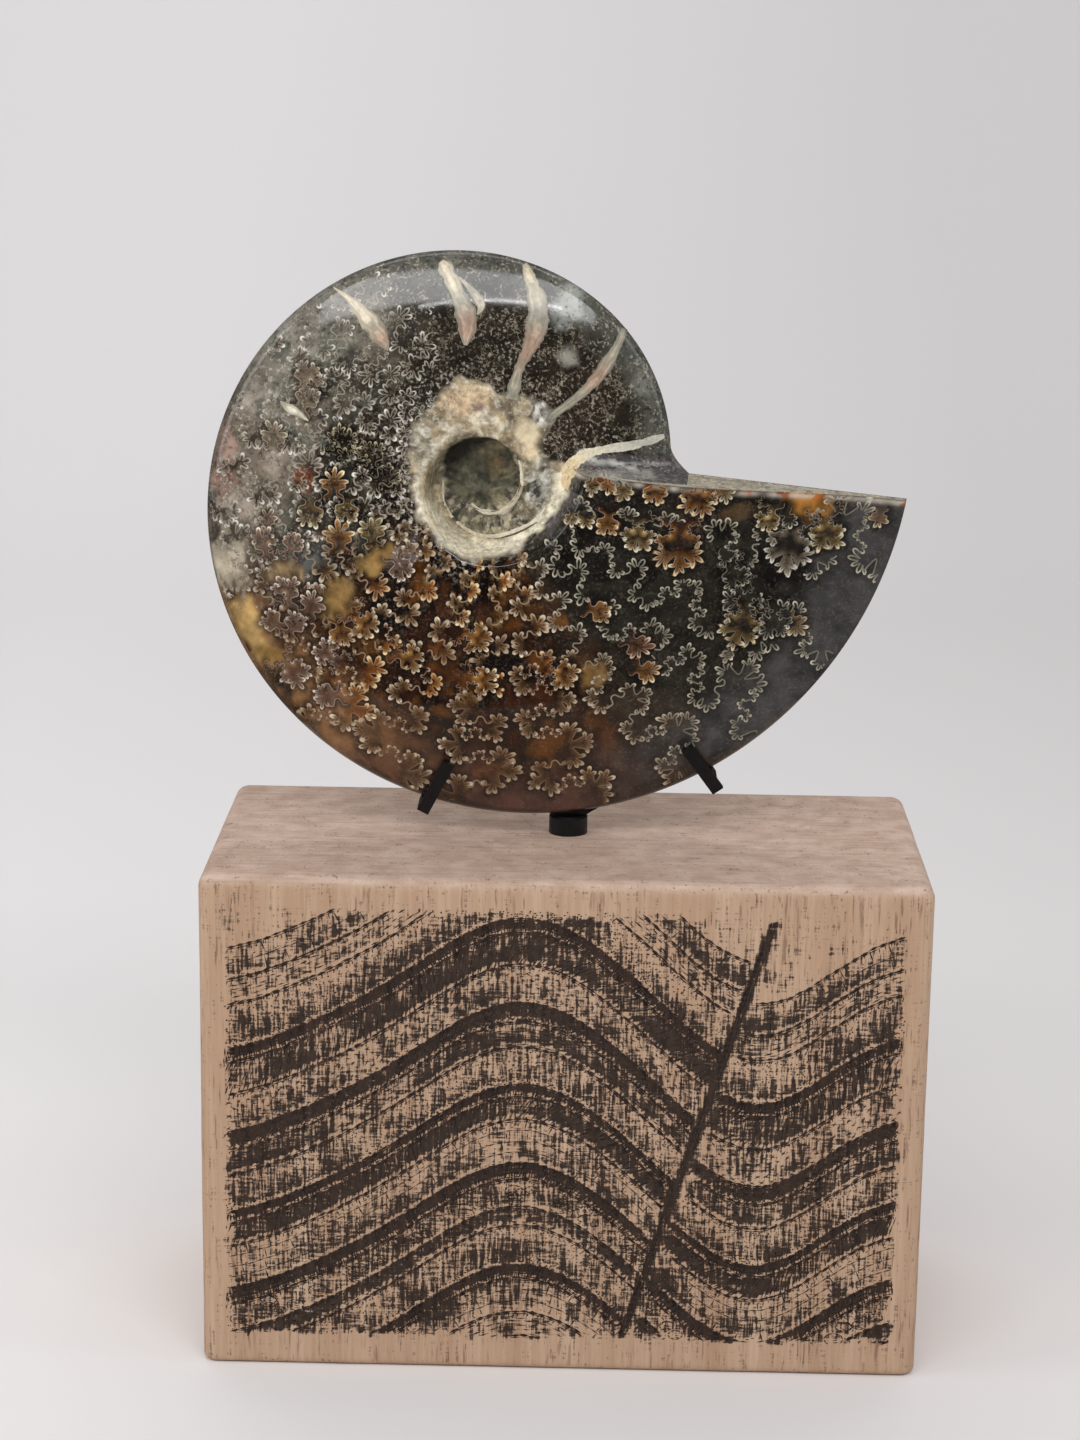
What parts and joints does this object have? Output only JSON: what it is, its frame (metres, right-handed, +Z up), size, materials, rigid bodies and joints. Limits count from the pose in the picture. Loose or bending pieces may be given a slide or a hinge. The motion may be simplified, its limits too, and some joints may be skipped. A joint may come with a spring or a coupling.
{
  "type": "polished ammonite fossil half on a block stand",
  "caption": "Polished ammonite fossil half with a flat cut back, held upright in a small black claw bracket on a rounded wooden block, for display.",
  "frame": {"origin": "centre of the wooden block's underside", "axes": "+Z up; -Y towards the viewer of the polished front; +X towards the fossil's mouth and pointed tip"},
  "size_m": [0.1109, 0.0544, 0.1689],
  "materials": {
    "block_wood": "sanded bare, pinkish tan, with short dark pores and a dark burned engraving on the front",
    "bracket_black": "matte black paint, slightly worn at the finger tips",
    "fossil_polished": null
  },
  "bodies": {
    "root": {"wood_block": "block_wood", "post": "bracket_black", "yoke": "bracket_black", "back_rest": "bracket_black", "claw_left": "bracket_black", "claw_right": "bracket_black", "ammonite_half": "fossil_polished"}
  },
  "joints": []
}
